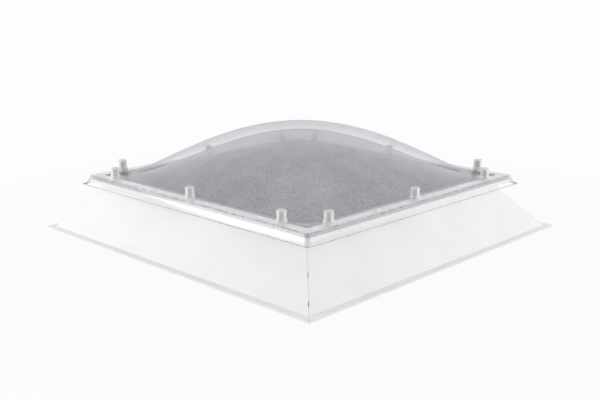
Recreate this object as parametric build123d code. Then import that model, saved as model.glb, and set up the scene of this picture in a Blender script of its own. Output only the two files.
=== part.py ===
from build123d import *
import os
from math import cos, hypot, pi, radians, sin, sqrt

# Fixed roof skylight: a triple-skin square dome screwed down on a splayed hollow kerb.
# Millimetres, +Z up. The origin is the middle of the kerb's underside, on the roof deck.
# The kerb's front side faces -Y and its right side faces +X.

# Kerb: its outside, and the sizes of its one extruded section
base_size = 1000.0              # outside of the base flange
base_flange_thickness = 4.0
base_flange_reach = 20.0        # from the foot of the sloping face to the flange's edge
kerb_height = 137.0             # underside to the top of the head
face_run = 95.0                 # how far the sloping face leans in
wall_run = 30.0                 # hollow wall, measured level
neck_rise = 20.0                # upright part of the neck below the head
neck_depth = 22.0
head_reach = 23.0               # from the neck's outside to the head's edge
head_thickness = 10.0
head_edge_radius = 1.5
shell_wall = 3.0                # outer walls of the hollow section
web_thickness = 2.2
web_count = 4

# Open mitre: two slits where the welded joint at the front right corner has parted
slit_heights = (22.5, 65.5)
slit_length = 13.0
slit_width = 1.8
slit_depth = 6.0

# Seals: lengths of foam tape on the head, inside and outside the line of screws
inner_seal_width = 17.0
inner_seal_thickness = 4.0
outer_seal_width = 9.5
outer_seal_margin = 3.5         # from the tape to the head's edge
outer_seal_gap = 0.85           # from the tape to the screws' shanks

# Dome skins
skin_corner_radius = 5.0        # inner and middle skins
skin_thickness = 2.5
inner_edge_gap = 3.85           # from the screws' shanks to the inner and middle skins' edges
inner_dome_setback = 11.0       # from the inner tape to the foot of the inner dome
inner_fullness = 0.2
middle_dome_setback = 1.0
middle_fullness = 0.02
outer_thickness = 3.0
outer_overhang = 2.5            # from the head's edge to the edge of the outer flange
outer_dome_setback = 1.6        # from the cap bases to the foot of the outer dome
outer_dome_rise = 143.5
outer_fullness = 0.3
middle_dome_shortfall = 20.0    # how much less the middle dome rises than the outer
inner_dome_shortfall = 41.5     # how much less the inner dome rises than the middle
foot_softness = 0.04            # how gently a dome leaves its flange

# Skirt: the outer skin's flared rim, which sheds the rain clear of the kerb
skirt_drop = 23.5               # from the flange's top to the lip's top
skirt_flare = 10.0
skirt_waist_drop = 13.0
skirt_waist_flare = 3.6
skirt_wall = 2.4
skirt_corner_radius = 10.0
lip_reach = 5.5
lip_thickness = 2.0

# Fixings: three on each side, through the flanges and into the head
corner_fixing_run = 78.0        # along a side, from where two lines of screws cross to the first screw
right_fixing_shift = 11.0       # the right side's screws stand this much nearer the front
skin_hole_diameter = 10.0       # loose, so that the outer skin can grow in the sun
screw_diameter = 6.3
screw_grip = 7.0                # depth in the head's screw channel
channel_clearance = 0.15
screw_head_across = 8.0
screw_head_height = 5.0
washer_inset = 0.75             # from the foot's edge to the washer's
washer_thickness = 2.5
base_foot_inset = 0.7           # from the base's widest part to its foot's edge
base_height = 5.5
base_foot_rise = 1.2
collar_height = 3.0
tube_wall = 1.7
tube_height = 19.5
bore_clearance = 0.3
cap_diameter = 22.4
cap_shoulder = 2.2              # how far the cap's rim stands out
cap_headroom = 2.5              # from the screw's head to the cap's inside
cap_rim_height = 3.0
cap_wall = 1.8
cap_crown = 4.0                 # how far the cap's top bulges
cap_crown_turns = (35, 70)      # degrees round the bulge at which its flats meet
cap_fit = 0.2                   # between the cap's inside and the base's collar
facets = 14                     # sides of the small moulded pieces, which repeat at every fixing

# Levels of the stack, from the roof deck up
inner_seal_top = kerb_height + inner_seal_thickness
inner_flange_top = inner_seal_top + skin_thickness
middle_flange_top = inner_flange_top + skin_thickness
outer_flange_top = middle_flange_top + outer_thickness

# Outward distances from the skylight's middle, from the kerb inwards
face_foot = base_size / 2 - base_flange_reach
neck_outside = face_foot - face_run
neck_inside = neck_outside - neck_depth
head_edge = neck_outside + head_reach
outer_seal_edge = head_edge - outer_seal_margin
fixing_line = outer_seal_edge - outer_seal_width - outer_seal_gap - screw_diameter / 2
inner_skin_edge = fixing_line - screw_diameter / 2 - inner_edge_gap
inner_seal_foot = inner_skin_edge - inner_seal_width

# Diameters of the small moulded pieces, which fit each other
bore_diameter = screw_diameter + 2 * bore_clearance
tube_diameter = bore_diameter + 2 * tube_wall
cap_bore_diameter = cap_diameter - 2 * cap_wall
collar_diameter = cap_bore_diameter - 2 * cap_fit
base_diameter = cap_diameter + 2 * cap_shoulder
base_foot_diameter = base_diameter - 2 * base_foot_inset
washer_diameter = base_foot_diameter - 2 * washer_inset
cap_height = tube_height + screw_head_height + cap_headroom + cap_crown - base_height

# Skins, over all, and how high their domes rise
outer_flange_size = 2 * (head_edge + outer_overhang)
outer_dome_size = 2 * (fixing_line - base_diameter / 2 - outer_dome_setback)
middle_dome_size = 2 * (inner_seal_foot - middle_dome_setback)
inner_dome_size = 2 * (inner_seal_foot - inner_dome_setback)
middle_dome_rise = outer_dome_rise - middle_dome_shortfall
inner_dome_rise = middle_dome_rise - inner_dome_shortfall

SIDES = {"front": 0, "right": 90, "back": 180, "left": 270}


def level_square(size, height, radius=0.0):
    """A square face at a height, centred on the axis, with rounded corners if asked."""
    outline = RectangleRounded(size, size, radius) if radius else Rectangle(size, size)
    return Pos(0, 0, height) * outline


def fixing_points():
    """The screw axes all the way round, three to a side."""
    spacing = fixing_line - corner_fixing_run
    points = []
    for side, turn in SIDES.items():
        shift = right_fixing_shift if side == "right" else 0
        for along in (-spacing, 0, spacing):
            place = Rot(0, 0, turn) * Pos(along - shift, -fixing_line)
            points.append((place.position.X, place.position.Y))
    return points


# The kerb's section, in outward distance from the skylight's middle and height
head_underside = kerb_height - head_thickness
neck_foot = head_underside - neck_rise
inner_foot = face_foot - wall_run
face_rise = neck_foot - base_flange_thickness
level_wall = shell_wall * hypot(face_run, face_rise) / face_rise


def sloping_height(foot, outward):
    """Height at which a line parallel to the sloping face, from a foot, is at an outward distance."""
    return base_flange_thickness + (foot - outward) * face_rise / face_run


def section_cavity():
    """The hollow inside the section, before the webs divide it."""
    return make_face(Polyline(
        (inner_foot + level_wall, base_flange_thickness),
        (face_foot - level_wall, base_flange_thickness),
        (neck_outside - shell_wall, sloping_height(face_foot - level_wall, neck_outside - shell_wall)),
        (neck_outside - shell_wall, kerb_height - shell_wall),
        (neck_inside + shell_wall, kerb_height - shell_wall),
        (neck_inside + shell_wall, sloping_height(inner_foot + level_wall, neck_inside + shell_wall)),
        close=True,
    ))


def section_webs():
    """Cross walls square to the slope, and one level with the head's underside."""
    slope = Vector(face_run, 0).get_signed_angle(Vector(face_run, -face_rise), Vector(0, 0, 1))
    web_length = 2 * wall_run
    middle_foot = face_foot - wall_run / 2
    webs = []
    for i in range(1, web_count + 1):
        share = i / (web_count + 1)
        place = Pos(middle_foot - share * face_run, base_flange_thickness + share * face_rise)
        webs.append(place * Rot(0, 0, slope) * Rectangle(web_thickness, web_length))
    neck_web = Rectangle(neck_depth, web_thickness)
    webs.append(Pos((neck_inside + neck_outside) / 2, head_underside + web_thickness / 2) * neck_web)
    return webs


def kerb_section():
    """The extrusion's section: base flange, hollow sloping wall, neck, and head with its screw channel."""
    outline = make_face(Polyline(
        (base_size / 2, 0),
        (base_size / 2, base_flange_thickness),
        (face_foot, base_flange_thickness),
        (neck_outside, neck_foot),
        (neck_outside, head_underside),
        (head_edge, head_underside),
        (head_edge, kerb_height),
        (neck_inside, kerb_height),
        (neck_inside, sloping_height(inner_foot, neck_inside)),
        (inner_foot, base_flange_thickness),
        (inner_foot, 0),
        close=True,
    ))
    head_corners = outline.vertices().filter_by(lambda v: abs(v.X - head_edge) < 0.01)
    outline = fillet(head_corners, head_edge_radius)
    channel_depth = screw_grip + channel_clearance
    channel = Rectangle(screw_diameter + 2 * channel_clearance, channel_depth)
    outline -= Pos(fixing_line, kerb_height - channel_depth / 2) * channel
    return outline - (section_cavity() - section_webs())


def mitre_slits():
    """Lens-shaped cuts along the front right corner of the sloping face."""
    slits = []
    for height in slit_heights:
        corner = face_foot - (height - base_flange_thickness) * face_run / face_rise
        looking_in = Plane((corner, -corner, height), x_dir=(1, 1, 0), z_dir=(-1, 1, 0))
        lens = Ellipse(slit_width / 2, slit_length / 2)
        slits.append(extrude(looking_in * lens, slit_depth, both=True))
    return slits


def kerb_side():
    """The front side of the kerb: the section extruded along X and mitred at both ends."""
    section_plane = Plane((0, 0, 0), x_dir=(0, -1, 0), z_dir=(-1, 0, 0))
    bar = extrude(section_plane * kerb_section(), base_size / 2, both=True)
    reach = base_size
    mitre = extrude(make_face(Polyline((0, 0), (-reach, -reach), (reach, -reach), close=True)), kerb_height)
    return bar & mitre


def seal_strips(outside, width, top):
    """Foam tape for each side, butted at the corners, from the head up to a level."""
    strips = {}
    for name, turn in SIDES.items():
        length = 2 * outside if turn % 180 == 0 else 2 * (outside - width)
        tape = extrude(Rectangle(length, width), top - kerb_height)
        strips[name] = Rot(0, 0, turn) * Pos(0, width / 2 - outside, kerb_height) * tape
    return strips


def dome_surface(size, rise, fullness, base_level):
    """A dome blown from a square: flat against its flange all round and fullest in the middle."""
    rows = 33
    spread = [sin(pi / 2 * (2 * i / (rows - 1) - 1)) for i in range(rows)]

    def height(u, v):
        swell = (1 - u * u) * (1 - v * v) * (1 + fullness * (u * u + v * v))
        softened = sqrt(swell * swell + foot_softness ** 2) - foot_softness
        return rise * softened / (sqrt(1 + foot_softness ** 2) - foot_softness)

    points = [[(u * size / 2, v * size / 2, base_level + height(u, v)) for u in spread] for v in spread]
    return Face.make_surface_from_array_of_points(points, tol=0.005, min_deg=3, max_deg=3)


def dome_skin(flange, dome_size, rise, fullness, flange_top, thickness):
    """A blown skin: a flange with a square window, and the dome that fills the window."""
    window = extrude(level_square(dome_size, flange_top - thickness), thickness)
    dome = extrude(dome_surface(dome_size, rise, fullness, flange_top), thickness, dir=(0, 0, -1))
    return flange - window + dome


def plain_flange(flange_top):
    """The flat rim of the inner or the middle skin."""
    outline = level_square(2 * inner_skin_edge, flange_top - skin_thickness, skin_corner_radius)
    return extrude(outline, skin_thickness)


def frustum(levels):
    """A solid through rounded squares given as pairs of size and height."""
    return loft([level_square(size, height, skirt_corner_radius) for size, height in levels], ruled=True)


def skirted_flange():
    """The outer skin's rim: drilled flange, flared skirt and turned-out lip in one moulded sheet."""
    waist = (outer_flange_size + 2 * skirt_waist_flare, outer_flange_top - skirt_waist_drop)
    foot = (outer_flange_size + 2 * skirt_flare, outer_flange_top - skirt_drop)
    lip_under = outer_flange_top - skirt_drop - lip_thickness
    outside = frustum([(outer_flange_size, outer_flange_top), waist]) + frustum([waist, foot])
    lip = extrude(level_square(foot[0] + 2 * lip_reach, lip_under, skirt_corner_radius), lip_thickness)
    thinner = 2 * skirt_wall
    underside = middle_flange_top
    hollow = frustum([(outer_flange_size - thinner, underside), (waist[0] - thinner, waist[1])])
    hollow += frustum([(waist[0] - thinner, waist[1]), (foot[0] - thinner, lip_under)])
    hole = extrude(Circle(skin_hole_diameter / 2), outer_thickness)
    return outside + lip - hollow - [Pos(x, y, middle_flange_top) * hole for x, y in fixing_points()]


def moulded(*levels):
    """A small many-sided piece through pairs of diameter and height."""
    sections = [Pos(0, 0, height) * RegularPolygon(diameter / 2, facets) for diameter, height in levels]
    return loft(sections, ruled=True)


def screw():
    """Hex-head screw, with its head's seat at height 0."""
    seat_above_head = outer_flange_top + washer_thickness + tube_height - kerb_height
    shank = extrude(Circle(screw_diameter / 2), -seat_above_head - screw_grip)
    return shank + extrude(RegularPolygon(screw_head_across / 2, 6, major_radius=False), screw_head_height)


def washer():
    """Soft sealing washer, on height 0."""
    return moulded((washer_diameter, 0), (washer_diameter, washer_thickness)) - moulded(
        (bore_diameter, 0), (bore_diameter, washer_thickness))


def cap_base():
    """Flared foot with a collar for the cap and a tube for the screw, on height 0."""
    foot = moulded((base_foot_diameter, 0), (base_diameter, base_foot_rise), (base_diameter, base_height))
    collar_top = base_height + collar_height
    collar = moulded((collar_diameter, base_height), (collar_diameter, collar_top))
    tube = moulded((tube_diameter, collar_top), (tube_diameter, tube_height))
    return foot + collar + tube - moulded((bore_diameter, 0), (bore_diameter, tube_height))


def screw_cap():
    """Domed thimble that snaps over the base's collar and hides the screw, on height 0."""
    rim = moulded((base_diameter, 0), (base_diameter, cap_rim_height - cap_shoulder),
                  (cap_diameter, cap_rim_height))
    crown_foot = cap_height - cap_crown
    steepest = sin(radians(cap_crown_turns[-1]))
    crown = [(cap_diameter * cos(radians(turn)), crown_foot + cap_crown * sin(radians(turn)) / steepest)
             for turn in cap_crown_turns]
    body = moulded((cap_diameter, cap_rim_height), (cap_diameter, crown_foot), *crown)
    return rim + body - moulded((cap_bore_diameter, 0), (cap_bore_diameter, crown_foot))


def at_fixings(piece, height):
    """The same piece at every fixing, as separate solids in one node."""
    return Compound([Pos(x, y, height) * piece for x, y in fixing_points()])


def skylight():
    """Every node of the skylight, by name."""
    nodes = {}
    side = kerb_side()
    inner_seals = seal_strips(inner_skin_edge, inner_seal_width, inner_seal_top)
    outer_seals = seal_strips(outer_seal_edge, outer_seal_width, middle_flange_top)
    for name, turn in SIDES.items():
        nodes["kerb_" + name] = Rot(0, 0, turn) * side
        nodes["inner_seal_" + name] = inner_seals[name]
        nodes["outer_seal_" + name] = outer_seals[name]
    nodes["kerb_front"] -= mitre_slits()
    nodes["kerb_right"] -= mitre_slits()
    nodes["inner_skin"] = dome_skin(plain_flange(inner_flange_top), inner_dome_size, inner_dome_rise,
                                    inner_fullness, inner_flange_top, skin_thickness)
    nodes["middle_skin"] = dome_skin(plain_flange(middle_flange_top), middle_dome_size, middle_dome_rise,
                                     middle_fullness, middle_flange_top, skin_thickness)
    nodes["outer_skin"] = dome_skin(skirted_flange(), outer_dome_size, outer_dome_rise,
                                    outer_fullness, outer_flange_top, outer_thickness)
    washer_top = outer_flange_top + washer_thickness
    nodes["fixing_screws"] = at_fixings(screw(), washer_top + tube_height)
    nodes["sealing_washers"] = at_fixings(washer(), outer_flange_top)
    nodes["cap_bases"] = at_fixings(cap_base(), washer_top)
    nodes["screw_caps"] = at_fixings(screw_cap(), washer_top + base_height)
    return nodes


os.makedirs("parts", exist_ok=True)
for name, shape in skylight().items():
    export_step(shape, "parts/" + name + ".step")
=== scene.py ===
import bmesh
import bpy
import math
from mathutils import Matrix, Vector


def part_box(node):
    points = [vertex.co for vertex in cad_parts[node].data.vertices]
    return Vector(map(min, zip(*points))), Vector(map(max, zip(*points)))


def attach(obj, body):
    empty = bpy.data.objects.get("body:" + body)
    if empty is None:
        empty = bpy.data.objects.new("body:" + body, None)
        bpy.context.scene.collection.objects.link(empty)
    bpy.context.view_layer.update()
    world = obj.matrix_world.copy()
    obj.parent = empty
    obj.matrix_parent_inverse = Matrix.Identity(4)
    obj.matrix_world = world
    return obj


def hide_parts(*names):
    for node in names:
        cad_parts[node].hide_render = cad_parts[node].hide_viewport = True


# The looks of a fixed square dome skylight: three clear or grey blown skins, screwed through capped
# fixings to a white splayed kerb. Metres, +Z up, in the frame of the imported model.

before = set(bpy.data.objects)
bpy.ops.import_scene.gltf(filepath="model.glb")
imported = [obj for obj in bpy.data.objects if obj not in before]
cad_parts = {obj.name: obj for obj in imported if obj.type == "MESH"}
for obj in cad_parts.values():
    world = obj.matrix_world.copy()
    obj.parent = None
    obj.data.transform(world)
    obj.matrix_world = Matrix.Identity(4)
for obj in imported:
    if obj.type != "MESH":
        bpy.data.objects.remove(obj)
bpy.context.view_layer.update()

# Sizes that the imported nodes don't give by their boxes
dome_half = {"inner_skin": 0.356, "middle_skin": 0.366, "outer_skin": 0.376}
fullness = {"inner_skin": 0.2, "middle_skin": 0.02, "outer_skin": 0.3}
foot_softness = 0.04
skin_thickness = 0.0025
outer_thickness = 0.003
flange_half = 0.4105            # outer skin's flat flange
skin_corner_radius = 0.005
window_corner_radius = 0.055    # where the grey skin's pattern gives way to corners painted in its flange's pale, painted-light colour
window_fade = 0.003             # half the width over which it does
seam_half, seam_fade = 0.0002, 0.0011      # a mitre's seam, and how far from its middle it fades out
skirt_corner_radius = 0.010
pale_flange_start = 0.381              # where the outer skin's flange, painted pale with painted light, begins
skirt_wall = 0.0024
skirt_waist = (0.4141, 0.136)   # half size and height where the skirt flares more
skirt_foot_half = 0.4205
lip_thickness = 0.002
# The outer flange's bend down into the skirt, outwards and upwards from the flange's corner
flange_bend = ((-0.0018, 0.0), (-0.0006, -0.0003), (0.0, -0.0014), (0.0003, -0.0025))
lip_round = (0.0008, 0.0007)    # rounding of the lip's edge, outwards and upwards
foot_bend = 0.0006              # rounding where the skirt turns out into the lip
foot_bend_rise = 0.0011
skirt_top_bend = 0.0008         # rounding under the flange, inside the skirt
flange_edge_round = 0.0008      # rounding of the inner and middle skins' flat edges
fixing_line = 0.391
fixing_spacing = 0.313
right_fixing_shift = 0.011      # the right side's screws stand this much nearer the front
bore_diameter = 0.0069
cap_diameter = 0.0224
cap_wall = 0.0018
cap_rim_height = 0.003
cap_shoulder = 0.0022
cap_crown = 0.004
cap_inner_bend = 0.002          # slope between the cap's inner wall and its roof
cap_round = 0.0006
base_diameter = 0.0268
base_foot_diameter = 0.0254
base_foot_rise = 0.0012
base_round = 0.0005
washer_diameter = 0.0239
washer_round = 0.0008
collar_diameter = 0.0184
collar_height = 0.003
tube_diameter = 0.0103
hub_radius = 0.0002             # a turned piece's profile ends this near its axis
SIDES = {"front": 0, "right": 90, "back": 180, "left": 270}

# How a skin's mesh is divided
dome_cells = 96                 # steps across the blown part, closer together near its foot
dome_reach = 0.955              # share of the half size that those steps fill
arc_share = 0.04                # share of a half side, at each end, that a corner's arc takes
arc_steps = 4                   # steps of that arc, up to the corner's middle
edge_steps = 4                  # steps of each quarter turn round a flange's edge
# The corner material is a darker copy of the clear sheet, painted shade
SHEET, FLANGE, RIM, SHADED_CORNER = 0, 1, 2, 3    # a skin's materials

backdrop_white = 0.982          # how bright the floor and the surroundings look

# Levels and sizes read from the frame
lip_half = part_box("outer_skin")[1].x
lip_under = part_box("outer_skin")[0].z
flange_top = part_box("sealing_washers")[0].z
washer_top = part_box("sealing_washers")[1].z
cap_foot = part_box("screw_caps")[0].z
cap_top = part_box("screw_caps")[1].z
tube_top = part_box("cap_bases")[1].z


# Node materials

def new_material(name):
    """An empty node material and its output node."""
    material = bpy.data.materials.new(name)
    material.use_nodes = True
    material.node_tree.nodes.clear()
    return material, add_node(material, "ShaderNodeOutputMaterial")


def add_node(material, kind, inputs=None, **settings):
    """A node whose inputs are values, or sockets to link from."""
    tree = material.node_tree
    made = tree.nodes.new(kind)
    for key, value in settings.items():
        setattr(made, key, value)
    for key, value in (inputs or {}).items():
        if isinstance(value, bpy.types.NodeSocket):
            tree.links.new(value, made.inputs[key])
        else:
            made.inputs[key].default_value = value
    return made


def set_surface(material, shader, output):
    """Makes the shader the material's surface."""
    material.node_tree.links.new(shader.outputs[0], output.inputs["Surface"])
    return material


def object_place(material):
    """Coordinates in metres in the frame of the object."""
    return add_node(material, "ShaderNodeTexCoord").outputs["Object"]


def stretched_noise(material, scale, detail=2.0, roughness=0.5):
    """Noise whose grain is scale times per metre along each axis."""
    mapping = add_node(material, "ShaderNodeMapping", {"Vector": object_place(material), "Scale": scale})
    noise = add_node(material, "ShaderNodeTexNoise",
                     {"Vector": mapping.outputs[0], "Scale": 1.0, "Detail": detail, "Roughness": roughness})
    return noise.outputs["Fac"]


def ramp(material, factor, stops):
    """A colour ramp through (place, colour) stops."""
    made = add_node(material, "ShaderNodeValToRGB", {"Fac": factor})
    elements = made.color_ramp.elements
    while len(elements) < len(stops):
        elements.new(0.5)
    for element, (place, colour) in zip(elements, stops):
        element.position = place
        element.color = (*colour, 1.0)
    return made.outputs["Color"]


def blend(material, share, first, second):
    """A colour that goes from the first to the second as the share goes from 0 to 1."""
    return add_node(material, "ShaderNodeMix", {0: share, 6: first, 7: second}, data_type="RGBA").outputs[2]


def remap(material, value, low, high, to_low, to_high):
    """A value moved smoothly from one range to another."""
    return add_node(material, "ShaderNodeMapRange",
                    {"Value": value, "From Min": low, "From Max": high,
                     "To Min": to_low, "To Max": to_high},
                    interpolation_type="SMOOTHSTEP").outputs["Result"]


def calculate(material, operation, first, second=0.0):
    """One step of arithmetic on values or sockets."""
    return add_node(material, "ShaderNodeMath", {0: first, 1: second}, operation=operation).outputs[0]


def vector_length(material, vector):
    """How long a vector is."""
    return add_node(material, "ShaderNodeVectorMath", {0: vector}, operation="LENGTH").outputs["Value"]


def bump(material, height, distance, strength=1.0):
    """A normal from a height, with distance in metres."""
    return add_node(material, "ShaderNodeBump",
                    {"Height": height, "Distance": distance, "Strength": strength}).outputs["Normal"]


def facing(material):
    """0 where a surface is seen square on, and 1 where it is seen edge on."""
    return add_node(material, "ShaderNodeLayerWeight", {"Blend": 0.5}).outputs["Facing"]


def white_plastic():
    """Extruded white plastic: faint die lines along each length and a soft sheen."""
    material, output = new_material("kerb_white_plastic")
    die_lines = stretched_noise(material, (3.0, 3.0, 900.0), 3.0)
    clouds = stretched_noise(material, (9.0, 9.0, 9.0), 2.0)
    tone = calculate(material, "ADD", calculate(material, "MULTIPLY", die_lines, 0.35),
                     calculate(material, "MULTIPLY", clouds, 0.65))
    colour = ramp(material, tone, ((0.3, (0.85, 0.852, 0.856)), (0.7, (0.91, 0.912, 0.914))))
    shader = add_node(material, "ShaderNodeBsdfPrincipled", {
        "Base Color": blend(material, mitre_seam(material), colour, (0.5, 0.51, 0.52, 1.0)),
        "Roughness": remap(material, clouds, 0.35, 0.65, 0.34, 0.44),
        "Normal": bump(material, die_lines, 0.00004, 0.5),
    })
    return set_surface(material, shader, output)


def mitre_seam(material):
    """1 along the thin seam of each welded mitre, where a side meets the next, and 0 elsewhere."""
    split = add_node(material, "ShaderNodeSeparateXYZ", {0: object_place(material)})
    across = calculate(material, "SUBTRACT", calculate(material, "ABSOLUTE", split.outputs["X"]),
                       calculate(material, "ABSOLUTE", split.outputs["Y"]))
    return remap(material, calculate(material, "ABSOLUTE", across), seam_half, seam_fade, 0.9, 0.0)


def clear_plastic(name, square_on, edge_on, mirror=(0.84, 0.845, 0.88), spread=6.6):
    """Clear sheet: a tint for each surface that light passes, and a mirror that grows edge on.

    The mirror's colour halves at the very edge: painted shade for the dark outline that bent light gives a
    clear sheet. A lower spread lets the mirror reach further in from it."""
    material, output = new_material(name)
    waves = stretched_noise(material, (14.0, 14.0, 14.0), 1.0)
    edge = facing(material)
    tint = ramp(material, calculate(material, "POWER", edge, 3.0), ((0.0, square_on), (1.0, edge_on)))
    through = add_node(material, "ShaderNodeBsdfTransparent", {"Color": tint})
    # Painted shade: the mirror darkens at the outline
    edge_shaded_mirror = tuple(0.5 * part for part in mirror)
    shine = add_node(material, "ShaderNodeBsdfGlossy", {
        "Color": ramp(material, edge, ((0.0, mirror), (0.9, mirror), (1.0, edge_shaded_mirror))),
        "Roughness": remap(material, waves, 0.3, 0.7, 0.05, 0.09),
        "Normal": bump(material, waves, 0.0004, 0.3),
    })
    grazing = calculate(material, "MULTIPLY", calculate(material, "POWER", edge, spread), 0.9)
    gloss = calculate(material, "ADD", grazing, 0.05)
    mixed = add_node(material, "ShaderNodeMixShader",
                     {0: gloss, 1: through.outputs[0], 2: shine.outputs[0]})
    return set_surface(material, mixed, output)


def outside_window(material, half, radius):
    """1 beyond the rounded corners of a skin's square window, and 0 inside it."""
    split = add_node(material, "ShaderNodeSeparateXYZ", {0: object_place(material)})
    past = []
    for axis in ("X", "Y"):
        from_middle = calculate(material, "ABSOLUTE", split.outputs[axis])
        past_arc = calculate(material, "SUBTRACT", from_middle, half - radius)
        past.append(calculate(material, "MAXIMUM", past_arc, 0.0))
    corner = add_node(material, "ShaderNodeCombineXYZ", {0: past[0], 1: past[1]})
    reach = vector_length(material, corner.outputs[0])
    return remap(material, reach, radius - window_fade, radius + window_fade, 0.0, 1.0)


def pebbled_grey():
    """Grey sheet with a fine pebbled pattern and sparse darker pits, its window's corners painted in its
    flange's pale colour, which is painted light.
    """
    material, output = new_material("pebbled_grey_skin")
    pale_corners_painted_light = outside_window(material, dome_half["inner_skin"], window_corner_radius)
    fine = stretched_noise(material, (260.0, 260.0, 260.0), 2.0, 0.6)
    clouds = stretched_noise(material, (14.0, 14.0, 14.0), 2.0)
    cells = add_node(material, "ShaderNodeTexVoronoi", {"Vector": object_place(material), "Scale": 118.0})
    pits = remap(material, cells.outputs["Distance"], 0.14, 0.34, 0.0, 1.0)
    grain = calculate(material, "ADD", calculate(material, "MULTIPLY", fine, 0.75),
                      calculate(material, "MULTIPLY", clouds, 0.25))
    colour = ramp(material, grain, ((0.34, (0.245, 0.247, 0.252)), (0.5, (0.4, 0.401, 0.408)),
                                    (0.66, (0.565, 0.566, 0.575))))
    pitted = blend(material, pits, (0.16, 0.161, 0.166, 1.0), colour)
    shader = add_node(material, "ShaderNodeBsdfPrincipled", {
        # Painted light: the window's corners take the flange's pale colour
        "Base Color": blend(material, pale_corners_painted_light, pitted, (0.84, 0.845, 0.88, 1.0)),
        "Roughness": remap(material, fine, 0.35, 0.65, 0.4, 0.55),
        "Normal": bump(material, calculate(material, "ADD", grain, pits), 0.0004, 0.4),
        "Alpha": remap(material, clouds, 0.3, 0.7, 0.92, 0.96),
    })
    return set_surface(material, shader, output)


def pale_flange_painted_light(name, pale, flange_alpha):
    """A flat flange of clear sheet over the white head and tape, painted pale and part solid: painted light
    for its grazing reflection and for the light the white head sends back up through it.
    """
    material, output = new_material(name)
    clouds = stretched_noise(material, (60.0, 60.0, 60.0), 2.0)
    darker, lighter = (tuple(part + step for part in pale) for step in (-0.03, 0.03))
    shader = add_node(material, "ShaderNodeBsdfPrincipled", {
        "Base Color": ramp(material, clouds, ((0.3, darker), (0.7, lighter))),
        "Roughness": remap(material, clouds, 0.3, 0.7, 0.16, 0.24),
        "Alpha": remap(material, clouds, 0.3, 0.7, flange_alpha - 0.05, flange_alpha + 0.05),
        "Normal": bump(material, clouds, 0.0003, 0.2),
    })
    return set_surface(material, shader, output)


def edge_painted_shade():
    """The edge of a sawn sheet, painted grey with darker dashes along it: painted shade for the dark line
    that bent light draws along a clear sheet's edge.
    """
    material, output = new_material("sheet_edge_painted_shade")
    edge_dashes = stretched_noise(material, (150.0, 150.0, 8.0), 1.0)
    shader = add_node(material, "ShaderNodeBsdfPrincipled", {
        "Base Color": ramp(material, edge_dashes, ((0.4, (0.36, 0.365, 0.39)), (0.58, (0.64, 0.645, 0.68)))),
        "Roughness": remap(material, edge_dashes, 0.35, 0.65, 0.3, 0.45),
        "Normal": bump(material, edge_dashes, 0.0003, 0.4),
        "Alpha": 0.88,
    })
    return set_surface(material, shader, output)


def milky_plastic(name, centre, crown):
    """Translucent white moulded plastic, clearest where it is seen square on, and clearer in the crown:
    painted shade that lets the darker inside grey the cap's top.

    centre is how solid it looks square on, and crown the share of that which the crown keeps."""
    material, output = new_material(name)
    clouds = stretched_noise(material, (90.0, 90.0, 60.0), 2.0)
    height = add_node(material, "ShaderNodeSeparateXYZ", {0: object_place(material)}).outputs["Z"]
    crown_foot = cap_top - cap_crown
    # Painted shade: the crown is made clearer so that the cap's top looks darker
    crown_painted_shade = remap(material, height, crown_foot - 0.0005, crown_foot + 0.002, 1.0, crown)
    solid = remap(material, facing(material), 0.03, 0.22, centre, 0.9)
    shader = add_node(material, "ShaderNodeBsdfPrincipled", {
        "Base Color": ramp(material, clouds, ((0.3, (0.8, 0.805, 0.805)), (0.7, (0.88, 0.885, 0.885)))),
        "Roughness": remap(material, clouds, 0.3, 0.7, 0.2, 0.3),
        "Alpha": calculate(material, "MULTIPLY", solid, crown_painted_shade),
        "Normal": bump(material, clouds, 0.0003, 0.25),
    })
    return set_surface(material, shader, output)


def foam():
    """Closed-cell foam tape, pale grey-green, with small cells."""
    material, output = new_material("foam_tape")
    cells = stretched_noise(material, (900.0, 900.0, 900.0), 2.0, 0.7)
    shader = add_node(material, "ShaderNodeBsdfPrincipled", {
        "Base Color": ramp(material, cells, ((0.3, (0.47, 0.485, 0.47)), (0.7, (0.61, 0.625, 0.605)))),
        "Roughness": remap(material, cells, 0.3, 0.7, 0.75, 0.95),
        "Normal": bump(material, cells, 0.0004, 0.6),
    })
    return set_surface(material, shader, output)


def pale_rubber():
    """Soft washer rubber."""
    material, output = new_material("washer_rubber")
    grain = stretched_noise(material, (600.0, 600.0, 600.0), 2.0)
    shader = add_node(material, "ShaderNodeBsdfPrincipled", {
        "Base Color": ramp(material, grain, ((0.3, (0.84, 0.85, 0.84)), (0.7, (0.9, 0.91, 0.9)))),
        "Roughness": remap(material, grain, 0.3, 0.7, 0.55, 0.7),
        "Normal": bump(material, grain, 0.0002, 0.4),
    })
    return set_surface(material, shader, output)


def zinc_steel():
    """Zinc-plated screw steel, turned along its shank."""
    material, output = new_material("zinc_steel")
    turning = stretched_noise(material, (200.0, 200.0, 1800.0), 3.0)
    shader = add_node(material, "ShaderNodeBsdfPrincipled", {
        "Base Color": ramp(material, turning, ((0.3, (0.42, 0.43, 0.44)), (0.7, (0.6, 0.61, 0.62)))),
        "Metallic": 1.0,
        "Roughness": remap(material, turning, 0.3, 0.7, 0.28, 0.42),
        "Normal": bump(material, turning, 0.0001, 0.4),
    })
    return set_surface(material, shader, output)


# Meshes

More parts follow.
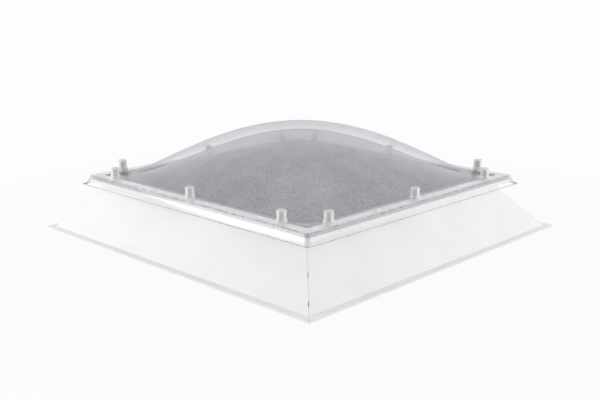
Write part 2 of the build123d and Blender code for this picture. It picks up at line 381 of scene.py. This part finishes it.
def finished_mesh(name, vertices, faces, material, smooth_angle=35.0):
    """A mesh object, welded and smooth-shaded up to an angle."""
    mesh = bpy.data.meshes.new(name)
    mesh.from_pydata(vertices, [], faces)
    shape = bmesh.new()
    shape.from_mesh(mesh)
    bmesh.ops.remove_doubles(shape, verts=shape.verts, dist=1e-7)
    bmesh.ops.recalc_face_normals(shape, faces=shape.faces)
    shape.to_mesh(mesh)
    shape.free()
    mesh.shade_smooth()
    mesh.set_sharp_from_angle(angle=math.radians(smooth_angle))
    mesh.materials.append(material)
    made = bpy.data.objects.new(name, mesh)
    bpy.context.scene.collection.objects.link(made)
    return made


def dome_height(u, v, rise, full):
    """Height of a blown dome over its flange, for places from -1 to 1 across its window."""
    swell = (1 - u * u) * (1 - v * v) * (1 + full * (u * u + v * v))
    softened = math.sqrt(swell * swell + foot_softness ** 2) - foot_softness
    return rise * softened / (math.sqrt(1 + foot_softness ** 2) - foot_softness)


def square_ring(half, radius, height, spread):
    """Points round a square with rounded corners, matched one to one with a grid's edge."""
    ring = []
    last = len(spread) - 1
    for side in range(4):
        turn = Matrix.Rotation(side * math.pi / 2, 3, "Z")
        for i in range(last):
            ring.append(turn @ rounded_point(half, radius, height, spread[i]))
    return ring


def rounded_point(half, radius, height, along):
    """A point of the front side of a rounded square: along goes from -1 to 1, with the arcs at its ends."""
    straight = 1 - arc_share
    if abs(along) <= straight:
        return Vector((along / straight * (half - radius), -half, height))
    angle = (abs(along) - straight) / arc_share * math.pi / 4
    x = half - radius + radius * math.sin(angle)
    y = -half + radius - radius * math.cos(angle)
    return Vector((math.copysign(x, along), y, height))


def skin(name, node, rise, half, full, thickness, top, rings, materials):
    """A blown skin as one closed sheet: dome grid, rings outwards and under side.

    A ring is half its size, its corner radius, its height and which of the materials leads up to it."""
    arc_points = [1 - arc_share * k / arc_steps for k in range(arc_steps + 1)]
    inner = [math.sin(math.pi / 2 * (2 * i / dome_cells - 1)) * dome_reach for i in range(dome_cells + 1)]
    spread = [-a for a in arc_points] + inner + arc_points[::-1]
    size = len(spread)
    vertices, faces, finish = [], [], {}

    def grid(lowered):
        first = len(vertices)
        for v in spread:
            for u in spread:
                height = top + dome_height(u, v, rise, full) - lowered
                vertices.append(Vector((u * half, v * half, height)))
        for j in range(size - 1):
            for i in range(size - 1):
                a = first + j * size + i
                faces.append((a, a + 1, a + size + 1, a + size))
        front = [first + i for i in range(size - 1)]
        right = [first + j * size + size - 1 for j in range(size - 1)]
        back = [first + (size - 1) * size + i for i in range(size - 1, 0, -1)]
        left = [first + j * size for j in range(size - 1, 0, -1)]
        return front + right + back + left

    def bridge(loop_a, loop_b, which):
        total = len(loop_a)
        for i in range(total):
            j = (i + 1) % total
            # Clear faces round a corner take the darker corner material, which is painted shade
            at_corner = (i + arc_steps) % (size - 1) < 2 * arc_steps
            finish[len(faces)] = SHADED_CORNER if which == SHEET and at_corner else which
            faces.append((loop_a[i], loop_a[j], loop_b[j], loop_b[i]))

    loop = grid(0.0)
    for ring_half, radius, height, which in rings:
        first = len(vertices)
        vertices.extend(square_ring(ring_half, radius, height, spread))
        next_loop = list(range(first, len(vertices)))
        bridge(loop, next_loop, which)
        loop = next_loop
    bridge(loop, grid(thickness), FLANGE)
    made = finished_mesh(name, vertices, faces, materials[SHEET], 40.0)
    for material in materials[1:]:
        made.data.materials.append(material)
    for face, which in finish.items():
        made.data.polygons[face].material_index = which
    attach(made, "root")
    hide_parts(node)
    return made


def edge_rings(half, radius, top, thickness):
    """Rings round the rounded edge of a flat flange."""
    bend = flange_edge_round
    under = top - thickness
    turns = [i / edge_steps * math.pi / 2 for i in range(edge_steps + 1)]
    upper = [(half - bend + bend * math.sin(a), radius, top - bend + bend * math.cos(a), RIM)
             for a in turns]
    lower = [(half - bend + bend * math.cos(a), radius, under + bend - bend * math.sin(a), RIM)
             for a in turns]
    return [(*upper[0][:3], FLANGE)] + upper[1:] + lower


def skins():
    """The three blown skins."""
    clear = clear_plastic("clear_outer_sheet", (0.985, 0.985, 0.988), (0.955, 0.957, 0.967))
    clear_middle = clear_plastic("clear_middle_sheet", (0.975, 0.976, 0.98), (0.915, 0.918, 0.935),
                                 spread=5.2)
    # The outer skin's flange and lip edges: painted shade
    rim = edge_painted_shade()
    # The skirt's rounded corners get a darker copy of the clear sheet: painted shade for the grey that
    # light bent at the corner gives
    corner_sheet_painted_shade = clear_plastic("clear_sheet_corner_painted_shade", (0.955, 0.958, 0.966), (0.42, 0.425, 0.45),
                                 mirror=(0.56, 0.565, 0.59))
    # Flanges painted pale: painted light for their grazing reflection and for the light the white head
    # sends back through them
    outer_flange = pale_flange_painted_light("outer_flange_painted_light", (0.9, 0.905, 0.92), 0.82)
    inner_flange = pale_flange_painted_light("inner_flange_painted_light", (0.84, 0.845, 0.88), 0.74)
    finishes = {"inner_skin": (pebbled_grey(), inner_flange, outer_flange),
                "middle_skin": (clear_middle, clear_middle, clear_middle)}
    for node, materials in finishes.items():
        low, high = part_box(node)
        top = low.z + skin_thickness
        rings = edge_rings(high.x, skin_corner_radius, top, skin_thickness)
        made = skin(node + "_sheet", node, high.z - top, dome_half[node], fullness[node],
                    skin_thickness, top, rings, materials)
    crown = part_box("outer_skin")[1].z
    under = flange_top - outer_thickness
    lip_top = lip_under + lip_thickness
    inside = skirt_foot_half - skirt_wall
    corner = skirt_corner_radius
    lip_out, lip_up = lip_round
    bend = [(flange_half + out, corner, flange_top + up, RIM) for out, up in flange_bend]
    rings = [
        (pale_flange_start, corner, flange_top, SHEET),
        (*bend[0][:3], FLANGE),
        *bend[1:],
        (skirt_waist[0], corner, skirt_waist[1], SHEET),
        (skirt_foot_half - foot_bend, corner, lip_top + foot_bend_rise, SHEET),
        (skirt_foot_half + foot_bend, corner, lip_top, SHEET),
        (lip_half - lip_out, corner, lip_top, SHEET),
        (lip_half, corner, lip_top - lip_up, RIM),
        (lip_half, corner, lip_under + lip_up, RIM),
        (lip_half - lip_out, corner, lip_under, RIM),
        (inside + foot_bend, corner, lip_under, SHEET),
        (inside, corner, lip_under + foot_bend, SHEET),
        (skirt_waist[0] - skirt_wall, corner, skirt_waist[1], SHEET),
        (flange_half - skirt_wall, corner, under - skirt_top_bend, SHEET),
        (flange_half - skirt_wall - skirt_top_bend, corner, under, SHEET),
    ]
    made = skin("outer_skin_sheet", "outer_skin", crown - flange_top, dome_half["outer_skin"],
                fullness["outer_skin"], outer_thickness, flange_top, rings,
                (clear, outer_flange, rim, corner_sheet_painted_shade))


def turned(name, profile, material, segments=48):
    """A piece turned about the Z axis from a closed profile of (radius, height)."""
    vertices, faces = [], []
    for k in range(segments):
        angle = 2 * math.pi * k / segments
        for radius, height in profile:
            vertices.append((radius * math.cos(angle), radius * math.sin(angle), height))
    count = len(profile)
    for k in range(segments):
        here, there = k * count, (k + 1) % segments * count
        for i in range(count):
            j = (i + 1) % count
            faces.append((here + i, there + i, there + j, here + j))
    return finished_mesh(name, vertices, faces, material, 32.0)


def rounded(profile, radius, steps=3):
    """A closed profile with each corner cut by a small arc, where its two sides leave room."""
    side_share = 0.45       # the most of a side that an arc may take
    out = []
    count = len(profile)
    for i, corner in enumerate(profile):
        here = Vector(corner)
        before = Vector(profile[i - 1]) - here
        after = Vector(profile[(i + 1) % count]) - here
        reach = min(radius, before.length * side_share, after.length * side_share)
        start, end = here + before.normalized() * reach, here + after.normalized() * reach
        for k in range(steps + 1):
            t = k / steps
            point = start * (1 - t) ** 2 + here * 2 * t * (1 - t) + end * t ** 2
            out.append((point.x, point.y))
    return out


def cap_profile():
    """The thimble: rim, shoulder, straight body and domed top, hollow inside."""
    body, rim, bore = cap_diameter / 2, base_diameter / 2, cap_diameter / 2 - cap_wall
    crown_foot = cap_top - cap_crown
    crown_step = 8          # degrees
    turns = [math.radians(crown_step * k) for k in range(1, 12)]
    crown = [(max(body * math.cos(a), hub_radius), crown_foot + cap_crown * math.sin(a)) for a in turns]
    lower = rounded([(bore, cap_foot), (rim, cap_foot), (rim, cap_foot + cap_rim_height - cap_shoulder),
                     (body, cap_foot + cap_rim_height), (body, crown_foot)], cap_round)
    inside = [(hub_radius, crown_foot), (bore - cap_inner_bend, crown_foot),
              (bore, crown_foot - cap_inner_bend), (bore, cap_foot)]
    # The first and last corners, four points each, stay sharp where the bore and the crown begin
    return lower[4:-4] + [(body, crown_foot)] + crown + [(hub_radius, cap_top)] + inside


def base_profile():
    """The flared foot with its collar and the screw's tube."""
    collar_top = cap_foot + collar_height
    bore, tube, collar = bore_diameter / 2, tube_diameter / 2, collar_diameter / 2
    return rounded([
        (bore, washer_top), (base_foot_diameter / 2, washer_top),
        (base_diameter / 2, washer_top + base_foot_rise), (base_diameter / 2, cap_foot),
        (collar, cap_foot), (collar, collar_top), (tube, collar_top), (tube, tube_top), (bore, tube_top),
    ], base_round)


def washer_profile():
    """The washer, with rounded edges."""
    bore, radius = bore_diameter / 2, washer_diameter / 2
    return rounded([(bore, flange_top), (radius, flange_top), (radius, washer_top), (bore, washer_top)],
                   washer_round)


def fixings():
    """Washer, base and cap at each of the twelve places, as pieces of their own."""
    thimble = milky_plastic("milky_cap", 0.46, 0.32)
    foot = milky_plastic("milky_base", 0.74, 1.0)
    rubber = pale_rubber()
    kinds = {
        "screw_cap": ("screw_caps", "cap_plastic", cap_profile(), thimble),
        "cap_base": ("cap_bases", "cap_plastic", base_profile(), foot),
        "sealing_washer": ("sealing_washers", "washer_rubber", washer_profile(), rubber),
    }
    for kind, (node, slot, profile, material) in kinds.items():
        pattern = turned(kind, profile, material)
        for side, turn in SIDES.items():
            shift = right_fixing_shift if side == "right" else 0.0
            for i, x in enumerate((-fixing_spacing, 0.0, fixing_spacing), start=1):
                place = Matrix.Translation((x - shift, -fixing_line, 0))
                place = Matrix.Rotation(math.radians(turn), 4, "Z") @ place
                made = bpy.data.objects.new(f"{kind}_{side}_{i}", pattern.data.copy())
                made.data.transform(place)
                bpy.context.scene.collection.objects.link(made)
                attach(made, "root")
                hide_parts(node)
        bpy.data.objects.remove(pattern)


def dress_cad_nodes():
    """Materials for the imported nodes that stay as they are."""
    white, tape, steel = white_plastic(), foam(), zinc_steel()
    for side in SIDES:
        paint("kerb_" + side, white)
        paint("inner_seal_" + side, tape)
        paint("outer_seal_" + side, tape)
    paint("fixing_screws", steel)


def paint(node, material):
    """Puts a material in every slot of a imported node."""
    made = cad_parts[node]
    if not made.data.materials:
        made.data.materials.append(material)
    for i in range(len(made.data.materials)):
        made.data.materials[i] = material


# Studio

def studio():
    """Pale floor, white surroundings and soft lamps."""
    scene = bpy.context.scene
    scene.view_settings.view_transform = "Standard"
    scene.cycles.transparent_max_bounces = 32
    floor_half, floor_level = 8.0, -0.0003
    floor, output = new_material("pale_floor")
    white = add_node(floor, "ShaderNodeEmission", {"Color": (*[backdrop_white] * 3, 1.0), "Strength": 1.0})
    card = add_node(floor, "ShaderNodeBsdfDiffuse", {"Color": (0.9, 0.9, 0.9, 1)})
    # Near the skylight the floor shows a little of the light that falls on it, and so the shadow
    shadow_reach, shadow_end, near_share = 0.7, 1.4, 0.93
    distance = vector_length(floor, object_place(floor))
    far_off = remap(floor, distance, shadow_reach, shadow_end, near_share, 1.0)
    share = calculate(floor, "MULTIPLY", seen_directly(floor), far_off)
    mixed = add_node(floor, "ShaderNodeMixShader", {0: share, 1: card.outputs[0], 2: white.outputs[0]})
    set_surface(floor, mixed, output)
    corners = [(x * floor_half, y * floor_half, floor_level)
               for x, y in ((-1, -1), (1, -1), (1, 1), (-1, 1))]
    finished_mesh("studio_floor", corners, [(0, 1, 2, 3)], floor)
    surroundings(1.0, 0.53)
    soft_lamp("left", (-2.2, -2.75, 1.25), (1.5, 2.5), 34.0)
    soft_lamp("left_wide", (-2.8, -2.0, 0.95), (2.4, 2.4), 14.0)
    soft_lamp("right", (2.9, 1.1, 1.5), (1.3, 1.3), 20.0)
    soft_lamp("right_wide", (2.4, 2.5, 0.85), (2.0, 2.0), 10.0)
    soft_lamp("top", (-0.2, 0.2, 3.2), (2.6, 2.6), 4.0)


def surroundings(low, high):
    """A white world as seen, and light that falls from one strength at the horizon to another overhead."""
    world = bpy.data.worlds.new("studio_world")
    bpy.context.scene.world = world
    world.use_nodes = True
    nodes, links = world.node_tree.nodes, world.node_tree.links
    paths = nodes.new("ShaderNodeLightPath")
    seen = paths.outputs["Is Camera Ray"]
    for kind in ("Is Glossy Ray", "Is Transmission Ray"):
        either = nodes.new("ShaderNodeMath")
        either.operation = "MAXIMUM"
        links.new(seen, either.inputs[0])
        links.new(paths.outputs[kind], either.inputs[1])
        seen = either.outputs[0]
    place = nodes.new("ShaderNodeTexCoord")
    split = nodes.new("ShaderNodeSeparateXYZ")
    links.new(place.outputs["Generated"], split.inputs[0])
    height = nodes.new("ShaderNodeMapRange")
    height.inputs["From Max"].default_value = 0.9
    height.inputs["To Min"].default_value = low
    height.inputs["To Max"].default_value = high
    links.new(split.outputs["Z"], height.inputs["Value"])
    strength = nodes.new("ShaderNodeMix")
    strength.inputs[3].default_value = backdrop_white
    links.new(seen, strength.inputs[0])
    links.new(height.outputs[0], strength.inputs[2])
    background = nodes["Background"]
    background.inputs["Color"].default_value = (1.0, 1.0, 1.0, 1.0)
    links.new(strength.outputs[0], background.inputs["Strength"])


def seen_directly(material):
    """1 for rays from the camera, a mirror or through glass."""
    paths = add_node(material, "ShaderNodeLightPath")
    seen = calculate(material, "MAXIMUM", paths.outputs["Is Camera Ray"], paths.outputs["Is Glossy Ray"])
    return calculate(material, "MAXIMUM", seen, paths.outputs["Is Transmission Ray"])


def soft_lamp(name, place, size, power):
    """An area lamp, size wide and tall, that points at the skylight."""
    data = bpy.data.lights.new(name, "AREA")
    data.shape = "RECTANGLE"
    data.size, data.size_y = size
    data.energy = power
    lamp = bpy.data.objects.new(name, data)
    lamp.location = place
    aim = Vector((0, 0, 0.12))      # in the dome
    lamp.rotation_euler = (aim - Vector(place)).to_track_quat("-Z", "Y").to_euler()
    bpy.context.scene.collection.objects.link(lamp)


def photo_camera():
    """The camera of the photograph, from a fit to the edges of kerb and skins."""
    image_width_px = 600
    focal_px = 850.2
    distance = 2.352
    azimuth, elevation, roll = math.radians(43.711), math.radians(13.971), math.radians(0.233)
    target_right, target_up = -0.00375, 0.07725
    back = Vector((math.sin(azimuth) * math.cos(elevation), -math.cos(azimuth) * math.cos(elevation),
                   math.sin(elevation)))
    right = Vector((math.cos(azimuth), math.sin(azimuth), 0.0))
    up = back.cross(right)
    across = math.cos(roll) * right + math.sin(roll) * up
    upright = math.cos(roll) * up - math.sin(roll) * right
    data = bpy.data.cameras.new("photo_camera")
    data.sensor_width = 36.0
    data.lens = data.sensor_width * focal_px / image_width_px
    camera = bpy.data.objects.new("photo_camera", data)
    turn = Matrix((across, upright, back)).transposed().to_4x4()
    target = target_right * right + Vector((0, 0, target_up))
    camera.matrix_world = Matrix.Translation(target + distance * back) @ turn
    bpy.context.scene.collection.objects.link(camera)
    bpy.context.scene.camera = camera


photo_camera()
studio()
dress_cad_nodes()
skins()
fixings()
